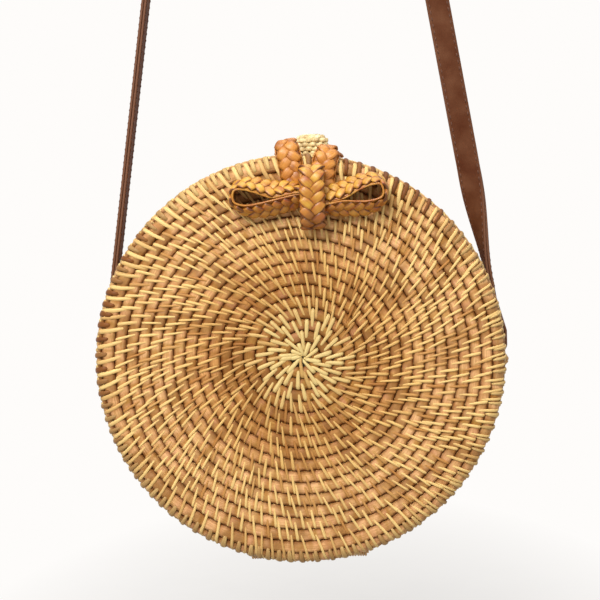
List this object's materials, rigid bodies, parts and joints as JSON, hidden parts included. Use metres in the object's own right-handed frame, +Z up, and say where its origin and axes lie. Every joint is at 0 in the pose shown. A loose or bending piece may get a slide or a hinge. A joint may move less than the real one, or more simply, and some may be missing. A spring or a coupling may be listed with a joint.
{
  "type": "circle bag",
  "caption": "Round coiled rattan shoulder bag: a shallow drum in halves hinged at the bottom, closed by a plaited bow and loop over a woven knob, on a doubled leather strap.",
  "frame": {"origin": "middle of the round body, on the seam between its halves, level with the strap rings", "axes": "+X right seen from the front, +Y from the front panel to the back panel, +Z up along the strap"},
  "size_m": [0.2138, 0.0946, 0.5981],
  "materials": {
    "coil_rattan": "smoked rattan coil, satin, fibres along the row",
    "binding_straw": "pale split straw, satin",
    "plaited_band": "honey-coloured plaited leaf band, slight gloss",
    "lining_cotton": "plain natural cotton",
    "strap_leather": "brown leather, fine grain, stitched along both edges",
    "rivet_brass": "plain domed brass rivet"
  },
  "bodies": {
    "back_half": {"back_panel": "coil_rattan", "back_wall": "coil_rattan", "back_rim": "coil_rattan", "back_lining": "lining_cotton", "strap_ring_left": "binding_straw", "strap_ring_right": "binding_straw", "hinge_rod_left": "coil_rattan", "hinge_rod_right": "coil_rattan", "back_hinge_eyes_left": "binding_straw", "back_hinge_eyes_right": "binding_straw", "clasp_knob": "binding_straw", "knob_peg": "coil_rattan"},
    "front_half": {"front_panel": "coil_rattan", "front_wall": "coil_rattan", "front_rim": "coil_rattan", "front_lining": "lining_cotton", "front_hinge_eye_left": "binding_straw", "front_hinge_eye_right": "binding_straw", "bow_loop_left": "plaited_band", "bow_loop_right": "plaited_band", "bow_knot": "plaited_band", "bow_lashing": "binding_straw", "clasp_anchor": "plaited_band"},
    "clasp": {"clasp_loop": "plaited_band"},
    "strap": {"shoulder_strap": "strap_leather", "strap_rivet_left": "rivet_brass", "strap_rivet_right": "rivet_brass"}
  },
  "joints": [
    {"name": "front_open", "type": "hinge", "parent": "back_half", "child": "front_half", "pos_m": [0, 0, -0.1046], "axis": [1, 0, 0], "range_deg": [0, 110], "deforming": ["clasp_loop"]},
    {"name": "clasp_lift", "type": "hinge", "parent": "front_half", "child": "clasp", "pos_m": [0.0083, -0.0418, 0.095], "axis": [1, 0, 0], "range_deg": [0, 80]},
    {"name": "strap_swing", "type": "hinge", "parent": "back_half", "child": "strap", "pos_m": [0, 0.0194, -0.008], "axis": [1, 0, 0], "range_deg": [-25, 25]}
  ]
}
